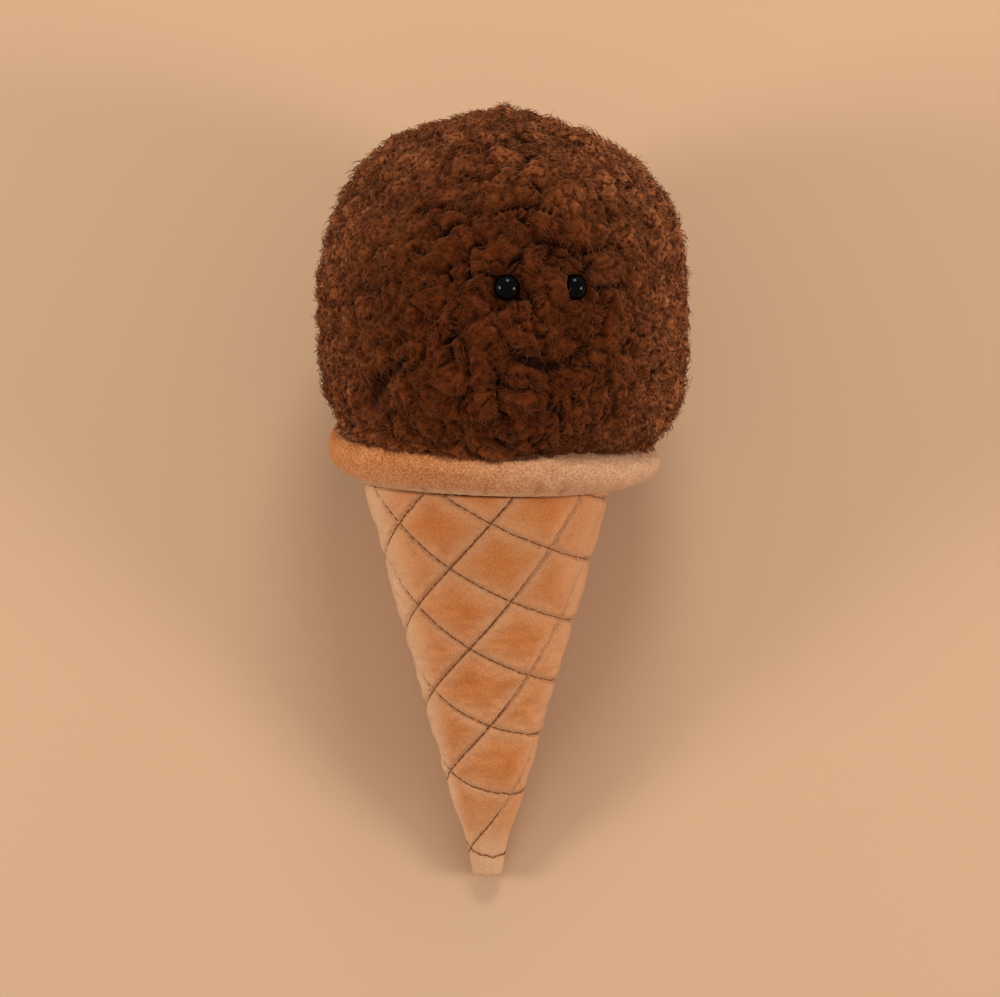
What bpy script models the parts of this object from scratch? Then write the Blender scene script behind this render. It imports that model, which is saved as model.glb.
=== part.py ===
"""A plush ice cream cone toy that lies on its back with its face up.

The pieces are a fleece scoop, a padded rim, a quilted velour cone, two bead eyes and a thread mouth.
They are modelled upright in the toy's own frame: +Z runs from the cone's tip to the scoop's crown and
the face looks along -Y. The empty "lying_toy" lays that frame down on the floor, z = 0.
"""

import math

import bmesh
import bpy
import numpy as np
from mathutils import Matrix, Vector

MM = 0.001
GAP = 0.3 * MM  # left between pieces that touch

# The toy lies on its back: its axis slopes down to the tip, and soft places press flat on the floor.
AXIS_SLOPE = math.radians(18.2)
FLOOR_BEHIND_TIP = 2.7 * MM  # from the axis to the floor, at the cone's tip
DEPTH_SHARE = 0.97  # depth from front to back, as a share of width, of the scoop and the rim

# The scoop's outline is a superellipse, fuller below its widest level than above.
SCOOP_CENTRE = Vector((3.6 * MM, 0.0, 130.0 * MM))
SCOOP_RADIUS = 43.0 * MM
CROWN_HEIGHT = 48.8 * MM
CROWN_POWER = 2.35
SKIRT_HEIGHT = 34.0 * MM
SKIRT_POWER = 3.8

# Tufts of the fleece: one rounded bump to each seed.
TUFTS = 520
TUFT_RELIEF = 2.1 * MM
TUFT_JITTER = 0.45  # of the spacing between seeds
TUFT_SEED = 7
CREASE_RELIEF = 1.1 * MM  # long folds in the fleece, across the crown
CREASES = 14.0  # radians of wave from the scoop's centre to its crown
CREASE_SHARPNESS = 4
SCOOP_SUBDIVISIONS = 5

# The face is turned a little to the toy's left, the viewer's right.
FACE_TURN = math.radians(12.5)
EYE_RADIUS = 3.0 * MM
EYE_SPREAD = math.radians(11.2)  # each side of the face's middle
EYE_RISE = math.radians(13.4)
EYE_SINKS = (1.5 * MM, 2.3 * MM)  # the fleece closes in on the right one
EYE_DIMPLE = 1.6 * MM
EYE_DIMPLE_WIDTH = 3.6 * MM
MOUTH_TURN = math.radians(15.0)
MOUTH_SPREAD = math.radians(12.0)
MOUTH_LOW = math.radians(-11.5)
MOUTH_LIFT = math.radians(5.1)  # how much higher the corners are than the middle
MOUTH_LEAN = math.radians(1.1)  # higher still at the viewer's right, and lower at the left
MOUTH_THREAD_RADIUS = 0.45 * MM
MOUTH_SINK = 0.6 * MM
MOUTH_DIMPLE = 1.2 * MM
MOUTH_DIMPLE_WIDTH = 2.6 * MM
MOUTH_POINTS = 15

# The rim is a padded roll that the scoop sits in. Its own origin is on the plane between the two.
RIM_CENTRE = Vector((1.9 * MM, 0.0, 101.8 * MM))
RIM_TILT = math.radians(4.6)  # the viewer's left side is the higher
RIM_RADIUS = 38.1 * MM
RIM_SEAT_RADIUS = 33.6 * MM
RIM_LIP = 3.0 * MM
RIM_WIDEST = -0.8 * MM
RIM_DEPTH = 10.0 * MM
RIM_FOOT_RISE = 2.1 * MM  # the foot is this much nearer the seat at the viewer's right, farther at the left
RIM_FOOT_RADIUS = 28.5 * MM
RIM_EDGE = 0.5 * MM  # how far the lip's top is from the rim's full width
RIM_WAVE = 0.45 * MM
RIM_SIDES = 60
RIM_ROLL_POINTS = 8

# The cone: a straight taper, with pillows between two families of straight stitch lines. The lines
# are straight on the unrolled cloth, whose corner is the cone's apex, below the blunt tip.
CONE_HALF_ANGLE = math.radians(15.2)
CONE_APEX = -12.0 * MM
CONE_TOP = RIM_CENTRE.z - RIM_DEPTH - GAP
CONE_TOP_SLOPE = math.tan(RIM_TILT) - RIM_FOOT_RISE / RIM_RADIUS  # parallel to the rim's foot
CONE_TAKE_IN = 0.2 * MM  # the stitch lines lie this much inside the straight taper
TIP_ROUNDING = 0.8 * MM
TIP_WAIST = 9.0 * MM  # the height where the end is drawn in most
TIP_WAIST_DEPTH = 0.6 * MM
TIP_WAIST_REACH = 6.0 * MM
PILLOW_RISE = 1.0 * MM
PILLOW_POWER = 0.5  # low is a tight crease at the stitches, high a gentle wave
PILLOW_FULL_RADIUS = 14.0 * MM  # where the cone is thinner, its pillows are flatter
PILLOW_LEAST = 0.25
SEAM_WIDTH = 3.0 * MM  # from the seam at the back to a pillow's full rise
CONE_SIDES = 70
CONE_ROWS = 44
ROW_CROWDING = 0.12  # how much closer the rows lie at the tip
STITCH_LINES = (  # normal's angle on the cloth, line spacing, distance of line 0 from the apex
    (math.radians(27.8), 14.8 * MM, 104.7 * MM),
    (math.radians(-50.4), 15.85 * MM, 95.4 * MM),
)
LINE_NUMBERS = range(-1, 8)  # from the cone's top to its tip
LEVEL_AFTER = 3  # past this line, towards the tip, the first family's lines level out
LEVELLING = math.radians(6.3)  # from one line to the next

FLEECE_BROWN = (0.075, 0.022, 0.008)
VELOUR_TAN = (0.48, 0.17, 0.055)
RIM_TAN = (0.56, 0.24, 0.09)
BEAD_BLACK = (0.004, 0.004, 0.005)
THREAD_BROWN = (0.018, 0.006, 0.003)


def clear_scene():
    for thing in list(bpy.data.objects):
        bpy.data.objects.remove(thing)


def new_collection(name):
    collection = bpy.data.collections.new(name)
    bpy.context.scene.collection.children.link(collection)
    return collection


def new_material(name, colour, roughness):
    made = bpy.data.materials.new(name)
    made.use_nodes = True
    shader = made.node_tree.nodes["Principled BSDF"]
    shader.inputs["Base Color"].default_value = (*colour, 1.0)
    shader.inputs["Roughness"].default_value = roughness
    shader.inputs["Metallic"].default_value = 0.0
    return made


def new_piece(name, mesh, collection, parent, material=None, location=(0, 0, 0), rotation=(0, 0, 0)):
    piece = bpy.data.objects.new(name, mesh)
    collection.objects.link(piece)
    piece.parent = parent
    piece.location = location
    piece.rotation_euler = rotation
    if material:
        mesh.materials.append(material)
    return piece


def mesh_points(mesh):
    flat = np.zeros(len(mesh.vertices) * 3)
    mesh.vertices.foreach_get("co", flat)
    return flat.reshape(-1, 3)


def set_mesh_points(mesh, points):
    mesh.vertices.foreach_set("co", points.ravel())
    mesh.update()


def applied(piece):
    """Replaces a piece's mesh by its shape with the modifiers in it."""
    graph = bpy.context.evaluated_depsgraph_get()
    mesh = bpy.data.meshes.new_from_object(piece.evaluated_get(graph))
    piece.modifiers.clear()
    piece.data = mesh
    mesh.name = piece.name


def keep_above(piece, point, normal):
    """Presses a piece flat against a plane of the toy's frame: what is behind it moves up to it."""
    own = piece.matrix_basis
    points = mesh_points(piece.data)
    inside = own.inverted()
    near = np.array(inside @ Vector(point))
    up = np.array((inside.to_3x3() @ Vector(normal)).normalized())
    short = np.maximum(0.0, (near - points) @ up)
    set_mesh_points(piece.data, points + np.outer(short, up))


def press_on_floor(piece):
    """The floor as the toy's frame sees it: a plane that slopes away behind the axis."""
    normal = (0.0, -math.cos(AXIS_SLOPE), math.sin(AXIS_SLOPE))
    keep_above(piece, (0.0, FLOOR_BEHIND_TIP, 0.0), normal)


def direction(turn, rise):
    """A unit vector from the scoop's centre: turned from the front to the viewer's right, and up."""
    return Vector(
        (math.sin(turn) * math.cos(rise), -math.cos(turn) * math.cos(rise), math.sin(rise))
    )


def eye_directions():
    return [direction(FACE_TURN + side * EYE_SPREAD, EYE_RISE) for side in (-1, 1)]


def mouth_directions(count=MOUTH_POINTS):
    """Along the mouth, a shallow arc that is lowest in its middle."""
    along = np.linspace(-1.0, 1.0, count)
    rises = [MOUTH_LOW + MOUTH_LIFT * t * t + MOUTH_LEAN * t for t in along]
    return [direction(MOUTH_TURN + MOUTH_SPREAD * t, rise) for t, rise in zip(along, rises)]


def tuft_seeds():
    """Unit vectors spread evenly over the ball by the golden angle, each moved a little at random."""
    index = np.arange(TUFTS) + 0.5
    height = 1 - 2 * index / TUFTS
    angle = math.pi * (1 + math.sqrt(5)) * index
    across = np.sqrt(1 - height**2)
    seeds = np.stack([across * np.cos(angle), across * np.sin(angle), height], axis=1)
    spacing = math.sqrt(4 * math.pi / TUFTS)
    seeds += np.random.default_rng(TUFT_SEED).normal(0, TUFT_JITTER * spacing / 2, seeds.shape)
    return seeds / np.linalg.norm(seeds, axis=1, keepdims=True)


def superellipse_radius(ways):
    """How far the smooth outline is from the scoop's centre along unit vectors."""
    across = np.hypot(ways[:, 0], ways[:, 1] / DEPTH_SHARE)
    upper = ways[:, 2] > 0
    height = np.where(upper, CROWN_HEIGHT, SKIRT_HEIGHT)
    power = np.where(upper, CROWN_POWER, SKIRT_POWER)
    sum_of_powers = (across / SCOOP_RADIUS) ** power + (np.abs(ways[:, 2]) / height) ** power
    return sum_of_powers ** (-1 / power)


def dimples(ways):
    """How deep the fleece is drawn in round the eyes and along the mouth, and how smooth it is there."""
    eyes = np.array(eye_directions())
    mouth = np.array(mouth_directions(41))
    to_eyes = SCOOP_RADIUS * np.arccos(np.clip(ways @ eyes.T, -1, 1)).min(axis=1)
    to_mouth = SCOOP_RADIUS * np.arccos(np.clip(ways @ mouth.T, -1, 1)).min(axis=1)
    at_eyes = np.exp(-((to_eyes / EYE_DIMPLE_WIDTH) ** 2))
    at_mouth = np.exp(-((to_mouth / MOUTH_DIMPLE_WIDTH) ** 2))
    return EYE_DIMPLE * at_eyes + MOUTH_DIMPLE * at_mouth, np.clip(at_eyes + at_mouth, 0, 1)


def tuft_relief(ways):
    """Rounded bumps, one to each seed: highest at the seed, and down to 0 halfway to the next."""
    near = np.sort(np.arccos(np.clip(ways @ tuft_seeds().T, -1, 1)), axis=1)[:, :2]
    share = near[:, 0] / near[:, 1]
    return TUFT_RELIEF * (1 - share**2)


def crease_relief(ways):
    """Long shallow folds: waves in height over the ball, bent by slower waves round it."""
    turn = np.arctan2(ways[:, 0], -ways[:, 1])
    bend = 0.13 * np.sin(3 * turn + 0.8) + 0.07 * np.sin(5 * turn - 1.1)
    wave = 0.5 + 0.5 * np.sin(CREASES * (ways[:, 2] + bend))
    on_crown = np.clip((ways[:, 2] - 0.1) / 0.3, 0, 1)
    return -CREASE_RELIEF * wave**CREASE_SHARPNESS * on_crown


def scoop_radius(ways):
    """The fleece's outline with its folds, tufts and dimples."""
    sunk, smooth = dimples(ways)
    relief = tuft_relief(ways) - TUFT_RELIEF / 2 + crease_relief(ways)
    return superellipse_radius(ways) + relief * (1 - smooth) - sunk


def build_scoop(collection, parent, material):
    ball = bmesh.new()
    bmesh.ops.create_icosphere(ball, subdivisions=SCOOP_SUBDIVISIONS, radius=1.0)
    mesh = bpy.data.meshes.new("scoop")
    ball.to_mesh(mesh)
    ball.free()
    ways = mesh_points(mesh)
    ways /= np.linalg.norm(ways, axis=1, keepdims=True)
    points = ways * scoop_radius(ways)[:, None]
    set_mesh_points(mesh, narrowed_to_seat(points))
    scoop = new_piece("scoop", mesh, collection, parent, material, SCOOP_CENTRE)
    seat_normal = Matrix.Rotation(RIM_TILT, 3, "Y") @ Vector((0, 0, 1))
    keep_above(scoop, RIM_CENTRE + seat_normal * (GAP / 2), seat_normal)
    press_on_floor(scoop)
    mesh.shade_smooth()
    return scoop


def narrowed_to_seat(points):
    """Draws the scoop's foot in, so that it fits inside the rim's lip with a gap all round."""
    tilt = np.array(Matrix.Rotation(-RIM_TILT, 3, "Y"))
    offset = np.array(SCOOP_CENTRE - RIM_CENTRE)
    in_rim = (points + offset) @ tilt.T
    across = np.hypot(in_rim[:, 0], in_rim[:, 1] / DEPTH_SHARE)
    height = in_rim[:, 2]
    room = RIM_SEAT_RADIUS - 2 * GAP + np.maximum(height, 0)
    fades = np.clip((height - RIM_LIP) / (2 * RIM_LIP), 0, 1)
    share = np.minimum(1.0, room / np.maximum(across, GAP))
    share += (1 - share) * fades
    in_rim[:, :2] *= share[:, None]
    return in_rim @ tilt - offset


def build_rim(collection, parent, material):
    """A turned pad: a flat seat, a thin lip round it, and a quarter-round roll down to its foot."""
    profile = [(0.0, -GAP / 2), (RIM_SEAT_RADIUS * 0.5, -GAP / 2), (RIM_SEAT_RADIUS, -GAP / 2)]
    profile.append((RIM_SEAT_RADIUS + RIM_LIP, RIM_LIP - GAP / 2))
    profile.append((RIM_RADIUS - RIM_EDGE, RIM_LIP - RIM_EDGE))
    for step in range(RIM_ROLL_POINTS):
        angle = step / (RIM_ROLL_POINTS - 1) * math.pi / 2
        across = RIM_FOOT_RADIUS + (RIM_RADIUS - RIM_FOOT_RADIUS) * math.cos(angle)
        profile.append((across, RIM_WIDEST - (RIM_DEPTH + RIM_WIDEST) * math.sin(angle)))
    profile.append((RIM_FOOT_RADIUS * 0.5, -RIM_DEPTH))
    profile.append((0.0, -RIM_DEPTH))
    mesh = bpy.data.meshes.new("rim")
    edges = [(i, i + 1) for i in range(len(profile) - 1)]
    mesh.from_pydata([(across, 0.0, height) for across, height in profile], edges, [])
    rim = new_piece("rim", mesh, collection, parent, None, RIM_CENTRE, (0, RIM_TILT, 0))
    turning = rim.modifiers.new("turning", "SCREW")
    turning.steps = RIM_SIDES
    turning.render_steps = RIM_SIDES
    turning.use_merge_vertices = True
    turning.merge_threshold = 0.00001
    turning.use_normal_calculate = True
    bpy.context.view_layer.update()
    applied(rim)
    rim.data.materials.append(material)
    points = mesh_points(rim.data)
    turn = np.arctan2(points[:, 0], -points[:, 1])
    across = np.hypot(points[:, 0], points[:, 1])
    at_edge = np.clip((across - RIM_SEAT_RADIUS) / (RIM_RADIUS - RIM_SEAT_RADIUS), 0, 1)
    below = np.clip(-points[:, 2] / RIM_DEPTH, 0, 1)
    wave = RIM_WAVE * (np.sin(3 * turn + 1.0) + 0.6 * np.sin(5 * turn)) * at_edge * below
    points[:, :2] *= (1 + wave / np.maximum(across, MM))[:, None]
    points[:, 1] *= DEPTH_SHARE
    points[:, 2] += RIM_FOOT_RISE * below * points[:, 0] / RIM_RADIUS
    set_mesh_points(rim.data, points)
    press_on_floor(rim)
    rim.data.shade_smooth()
    return rim


def stitch_lines():
    """For each family, its lines' angles and their distances from the apex, on the unrolled cloth. Lines
    that level out turn about the place where they cross the cone's front."""
    families = []
    for (angle, spacing, first), levelling in zip(STITCH_LINES, (LEVELLING, 0.0)):
        number = np.array(LINE_NUMBERS)
        angles = angle - levelling * np.maximum(number - LEVEL_AFTER, 0)
        distances = (first - number * spacing) * np.cos(angles) / math.cos(angle)
        families.append((angles, distances))
    return families


def pillows(turn, slant):
    """The cloth's rise between the stitch lines, from 0 on a line to 1 in the middle of a diamond."""
    unrolled = turn * math.sin(CONE_HALF_ANGLE)
    rise = np.ones_like(turn)
    for angles, distances in stitch_lines():
        away = np.abs(distances - slant[:, None] * np.cos(unrolled[:, None] - angles))
        nearest = np.sort(away, axis=1)[:, :2]
        rise *= np.sin(math.pi * nearest[:, 0] / nearest.sum(axis=1))
    from_seam = (math.pi - np.abs(turn)) * slant * math.sin(CONE_HALF_ANGLE)
    seam = np.clip(from_seam / SEAM_WIDTH, 0, 1)
    return rise**PILLOW_POWER * np.sin(seam * math.pi / 2)


def cone_radius(turn, height):
    """The quilted cone's radius at an angle round it and a height over the tip."""
    taper = (height - CONE_APEX) * math.tan(CONE_HALF_ANGLE)
    slant = (height - CONE_APEX) / math.cos(CONE_HALF_ANGLE)
    fullness = np.clip(taper / PILLOW_FULL_RADIUS, PILLOW_LEAST, 1)
    waist = TIP_WAIST_DEPTH * np.exp(-(((height - TIP_WAIST) / TIP_WAIST_REACH) ** 2))
    radius = taper - waist + fullness * (PILLOW_RISE * pillows(turn, slant) - CONE_TAKE_IN)
    end = np.clip(1 - height / TIP_ROUNDING, 0, 1)
    return radius * np.sqrt(1 - 0.6 * end**2)


def build_cone(collection, parent, material):
    """A primitive cone cut into rows, whose points then take the quilted shape."""
    body = bmesh.new()
    bmesh.ops.create_cone(
        body, cap_ends=True, segments=CONE_SIDES, radius1=1.0, radius2=2.0, depth=1.0
    )
    upright = [e for e in body.edges if abs(e.verts[0].co.z - e.verts[1].co.z) > 0.5]
    bmesh.ops.subdivide_edges(body, edges=upright, cuts=CONE_ROWS - 1)
    mesh = bpy.data.meshes.new("cone")
    body.to_mesh(mesh)
    body.free()
    raw = mesh_points(mesh)
    turn = np.arctan2(raw[:, 0], -raw[:, 1])
    share = raw[:, 2] + 0.5
    height = CONE_TOP * (share - ROW_CROWDING * np.sin(math.pi * share) * (1 - share))
    radius = cone_radius(turn, height)
    points = np.stack([radius * np.sin(turn), -radius * np.cos(turn), height], axis=1)
    points[:, 2] -= share**2 * (points[:, 0] - RIM_CENTRE.x) * CONE_TOP_SLOPE
    set_mesh_points(mesh, points)
    cone = new_piece("cone", mesh, collection, parent, material)
    press_on_floor(cone)
    mesh.shade_smooth()
    return cone


def build_eye(name, way, sink, collection, parent, material):
    """A round bead, sunk into the fleece by more than half."""
    bead = bmesh.new()
    bmesh.ops.create_uvsphere(bead, u_segments=20, v_segments=10, radius=EYE_RADIUS)
    mesh = bpy.data.meshes.new(name)
    bead.to_mesh(mesh)
    bead.free()
    reach = superellipse_radius(np.array([way]))[0] - sink
    eye = new_piece(name, mesh, collection, parent, material, SCOOP_CENTRE + way * reach)
    mesh.shade_smooth()
    return eye


def thread_tube(name, radius, collection, parent):
    """A round thread along the mouth, as a mesh with closed ends."""
    ways = mouth_directions()
    reach = superellipse_radius(np.array(ways)) - MOUTH_SINK
    curve = bpy.data.curves.new(name, "CURVE")
    curve.dimensions = "3D"
    curve.bevel_depth = radius
    curve.bevel_resolution = 2
    curve.use_fill_caps = True
    line = curve.splines.new("POLY")
    line.points.add(len(ways) - 1)
    for point, way, far in zip(line.points, ways, reach):
        point.co = (*(SCOOP_CENTRE + way * far), 1.0)
    thread = bpy.data.objects.new(name, curve)
    collection.objects.link(thread)
    bpy.context.view_layer.update()
    graph = bpy.context.evaluated_depsgraph_get()
    mesh = bpy.data.meshes.new_from_object(thread.evaluated_get(graph))
    bpy.data.objects.remove(thread)
    welded = bmesh.new()
    welded.from_mesh(mesh)
    bmesh.ops.remove_doubles(welded, verts=welded.verts, dist=0.00001)
    bmesh.ops.recalc_face_normals(welded, faces=welded.faces)
    welded.to_mesh(mesh)
    welded.free()
    return new_piece(name, mesh, collection, parent)


def cut(piece, cutter):
    """Takes a cutter's shape out of a piece, with a Boolean that stays live."""
    taking = piece.modifiers.new("room for " + cutter.name, "BOOLEAN")
    taking.operation = "DIFFERENCE"
    taking.solver = "EXACT"
    taking.object = cutter
    cutter.hide_render = True
    cutter.display_type = "WIRE"


def eye_socket(eye, collection):
    """A ball a gap wider than the bead, at the bead's place."""
    mesh = eye.data.copy()
    set_mesh_points(mesh, mesh_points(mesh) * (1 + GAP / EYE_RADIUS))
    return new_piece(eye.name + "_socket", mesh, collection, eye.parent, None, eye.location)


def world_points(piece):
    turned = mesh_points(piece.data) @ np.array(piece.matrix_world.to_3x3()).T
    return turned + np.array(piece.matrix_world.translation)


def stand_on_origin(parent, pieces):
    """Lays the toy down, with the middle of its footprint at the origin."""
    parent.rotation_euler = (AXIS_SLOPE - math.pi / 2, 0.0, 0.0)
    bpy.context.view_layer.update()
    points = np.concatenate([world_points(piece) for piece in pieces])
    middle = (points.min(axis=0) + points.max(axis=0)) / 2
    parent.location = (-middle[0], -middle[1], FLOOR_BEHIND_TIP * math.cos(AXIS_SLOPE))


def main():
    clear_scene()
    toy = new_collection("plush_ice_cream_cone")
    cutters = new_collection("cutters")
    lying = bpy.data.objects.new("lying_toy", None)
    toy.objects.link(lying)
    fleece = new_material("fleece", FLEECE_BROWN, 0.95)
    velour = new_material("cone_velour", VELOUR_TAN, 0.85)
    rim_velour = new_material("rim_velour", RIM_TAN, 0.85)
    bead = new_material("bead", BEAD_BLACK, 0.08)
    thread = new_material("thread", THREAD_BROWN, 0.7)

    scoop = build_scoop(toy, lying, fleece)
    rim = build_rim(toy, lying, rim_velour)
    cone = build_cone(toy, lying, velour)
    for name, way, sink in zip(("eye_left", "eye_right"), eye_directions(), EYE_SINKS):
        eye = build_eye(name, way, sink, toy, lying, bead)
        cut(scoop, eye_socket(eye, cutters))
    mouth = thread_tube("mouth", MOUTH_THREAD_RADIUS, toy, lying)
    mouth.data.materials.append(thread)
    cut(scoop, thread_tube("mouth_channel", MOUTH_THREAD_RADIUS + GAP, cutters, lying))
    stand_on_origin(lying, [scoop, rim, cone])


main()
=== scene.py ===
"""The looks of a plush ice cream cone that lies on its back with its face up.

Every piece is worked out in the toy's own upright frame, in metres: +Z runs from the cone's tip to the
scoop's crown, the face looks along -Y, and a turn is counted from the front to the viewer's right.
lay() turns that frame down onto the floor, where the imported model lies.
"""

import math

import bpy
import numpy as np
from mathutils import Matrix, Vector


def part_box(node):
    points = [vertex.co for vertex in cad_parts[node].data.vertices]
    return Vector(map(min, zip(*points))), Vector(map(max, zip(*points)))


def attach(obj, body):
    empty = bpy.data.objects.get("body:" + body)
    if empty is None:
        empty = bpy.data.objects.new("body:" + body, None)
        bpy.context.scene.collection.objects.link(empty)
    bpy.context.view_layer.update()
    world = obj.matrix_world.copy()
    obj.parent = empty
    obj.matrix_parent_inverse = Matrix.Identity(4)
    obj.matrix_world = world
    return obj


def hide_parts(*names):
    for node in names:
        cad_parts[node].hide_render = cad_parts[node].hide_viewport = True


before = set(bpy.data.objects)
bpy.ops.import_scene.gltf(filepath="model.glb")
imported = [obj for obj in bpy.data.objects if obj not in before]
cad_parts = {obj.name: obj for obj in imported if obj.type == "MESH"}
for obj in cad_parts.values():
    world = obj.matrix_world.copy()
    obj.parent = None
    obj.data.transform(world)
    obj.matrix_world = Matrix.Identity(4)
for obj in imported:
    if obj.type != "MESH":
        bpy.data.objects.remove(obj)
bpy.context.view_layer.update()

MM = 0.001
TURN = 2 * math.pi

# How the toy lies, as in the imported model.
AXIS_SLOPE = math.radians(18.2)
FLOOR_BEHIND_TIP = 2.7 * MM
DEPTH_SHARE = 0.97

# The scoop's outline.
SCOOP_CENTRE = np.array([3.6, 0.0, 130.0]) * MM
SCOOP_RADIUS = 43.0 * MM
CROWN_HEIGHT = 48.0 * MM
CROWN_POWER = 2.35
SKIRT_HEIGHT = 34.0 * MM
SKIRT_POWER = 3.8
PEAK_RISE = 1.8 * MM  # a tuft of pile stands up on the crown
PEAK_WIDTH = 5.5 * MM
BULGES = (  # turn, rise and width in degrees, and how far the outline swells or shrinks there
    (82.0, 36.0, 20.0, 1.5 * MM),
    (-88.0, -36.0, 20.0, -1.8 * MM),
    (90.0, 62.0, 16.0, -1.1 * MM),
    (-90.0, 47.0, 16.0, 1.1 * MM),
)

# The fleece: a lumpy backing with short curled pile on it.
TUFTS = 520
TUFT_RELIEF = 1.0 * MM
TUFT_JITTER = 0.45
TUFT_SEED = 7
CREASE_RELIEF = 0.9 * MM
CREASES = 14.0
CREASE_SHARPNESS = 4
PUFF_SIZES = (5.4 * MM, 2.8 * MM, 1.5 * MM)  # rounded lumps of three sizes on the tufts
PUFF_RELIEFS = (1.2 * MM, 0.9 * MM, 0.5 * MM)
SIDE_CALM = 0.5  # the sides' larger lumps are this much lower than the face's
BEND = 1.5 * MM  # how far the borders of tufts and lumps wander
SLIT_DEPTH = 1.3 * MM
SLIT_SHARE = 0.16  # the half width of a slit, as a share of a lump's rise
MAT_RELIEF = 0.2 * MM  # the matted fibres' own relief
LOCKS = 2300  # pile that lies over the same way
LOCK_JITTER = 0.6
LOCK_SEED = 11
PILE_HEIGHT = 1.1 * MM  # the backing lies this far inside the outline
BACKING_ROWS = 360
BACKING_COLUMNS = 600

# The long folds that show on the front: the turn and rise of the middle, half the length, the lean
# and how far the middle is bowed up, in degrees, and the depth as a share of FOLD_DEPTH.
FOLD_DEPTH = 2.4 * MM
FOLD_WIDTH = 0.75 * MM
FOLD_POINTS = 13
FOLDS = (
    (-23.0, 35.4, 9.0, 0.0, 2.4, 1.0),
    (7.4, 34.6, 9.5, 0.0, 3.9, 1.1),
    (17.2, 24.6, 8.0, -18.0, 3.0, 0.8),
    (-7.2, 50.4, 6.0, 12.0, -3.4, 0.9),
    (4.7, 20.4, 2.2, 0.0, 1.8, 1.1),
    (28.5, 18.8, 2.4, 50.0, 0.3, 1.0),
    (34.4, 13.4, 6.2, 3.0, -0.4, 1.3),
    (-34.4, -11.6, 4.8, 42.0, 0.0, 0.8),
    (-16.6, -2.9, 2.8, 33.0, 0.0, 0.7),
    (24.0, -21.6, 2.4, -38.0, 0.0, 0.9),
    (-27.1, 24.4, 3.0, -12.0, -0.9, 0.7),
    (-16.0, 20.0, 3.4, 20.0, 0.0, 0.7),
    (29.5, 47.4, 4.0, -12.0, 0.0, 0.7),
    (40.0, 38.0, 4.0, -65.0, 0.8, 0.7),
    (11.8, -0.4, 2.2, 0.0, -1.4, 0.8),
    (46.0, -1.0, 4.2, -32.0, 0.0, 0.6),
)

STRANDS = 36000
STRAND_POINTS = 4
STRAND_SIDES = 3
STRAND_LENGTH = 2.5 * MM
STRAND_RADIUS = 0.085 * MM
STRAND_WOBBLE = 0.25 * MM
STRAND_SEED = 23
UPRIGHT_SHARE = 0.07
HEM = 3.0 * MM  # over its lowest line, the pile hangs down
HEM_STRANDS = 2600  # more of them where it hangs over the rim
PILE_PIECES = 5

# The face.
FACE_TURN = math.radians(12.5)
EYE_RADIUS = 3.0 * MM
EYE_SPREAD = math.radians(11.2)
EYE_RISE = math.radians(13.4)
EYE_SINKS = np.array([1.5, 2.3]) * MM
EYE_DIMPLE = 1.6 * MM
EYE_DIMPLE_WIDTH = 3.6 * MM
MOUTH_TURN = math.radians(15.0)
MOUTH_SPREAD = math.radians(12.0)
MOUTH_LOW = math.radians(-11.5)
MOUTH_LIFT = math.radians(5.1)
MOUTH_LEAN = math.radians(1.1)
MOUTH_SINK = 1.9 * MM  # the thread draws itself down into the pile
MOUTH_DIMPLE = 1.4 * MM
MOUTH_DIMPLE_WIDTH = 1.4 * MM
MOUTH_SHADE = 1.7 * MM
MOUTH_POINTS = 90
THREAD_RADIUS = 0.38 * MM
THREAD_TWISTS = 8
EYE_SHADE = 4.6 * MM
FACE_SHADE_WIDTH = math.radians(40)  # the pile on the face is matted, and painted shade makes it a little darker
RIGHT_EYE_SQUEEZE = 1.55  # the pile closes in on the right eye from both sides by this
CHEEK_RISE = 2.4 * MM  # of the pile beside the right eye
CHEEK_OFFSETS = (-3.6 * MM, 3.3 * MM)
CHEEK_SIZE = (1.7 * MM, 3.4 * MM)  # across and up

# The padded rim.
RIM_CENTRE = np.array([1.9, 0.0, 101.8]) * MM
RIM_TILT = math.radians(4.6)
RIM_TURN = np.array(Matrix.Rotation(RIM_TILT, 3, "Y"))
RIM_RADIUS = 38.1 * MM
RIM_SEAT_RADIUS = 33.6 * MM
RIM_EDGE_RADIUS = RIM_SEAT_RADIUS - 2.5 * MM  # of the cloth's inner edge, under the fleece
RIM_LIP = 3.0 * MM
RIM_WIDEST = -0.8 * MM
RIM_DEPTH = 10.0 * MM
RIM_FOOT_RISE = 2.1 * MM
RIM_FOOT_RADIUS = 28.5 * MM
RIM_WAVE = 0.45 * MM
LIP_DROP = (3.4 * MM, 0.9 * MM)  # the fleece sags over the front of the lip, most at the viewer's left
LIP_DROP_MOST = 3.0 * MM
HEM_LINE = 2.4 * MM  # where the fleece meets the lip, over the seat, unless it sags
OVERHANG = 1.2 * MM  # how far below the seat the fleece reaches where it sags most
OVERHANG_FROM = 1.2 * MM  # it reaches below the seat where the lip sags by more than this
OVERHANG_BULGE = 3.7 * MM  # it bulges this far out there to cover the lip, and less up to BULGE_TOP
BULGE_TOP = 3.6 * MM
LIP_DROP_TURN = math.radians(-28)
LIP_DROP_WIDTH = math.radians(42)
RIM_COLUMNS = 720
RIM_ROWS = 96

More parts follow.
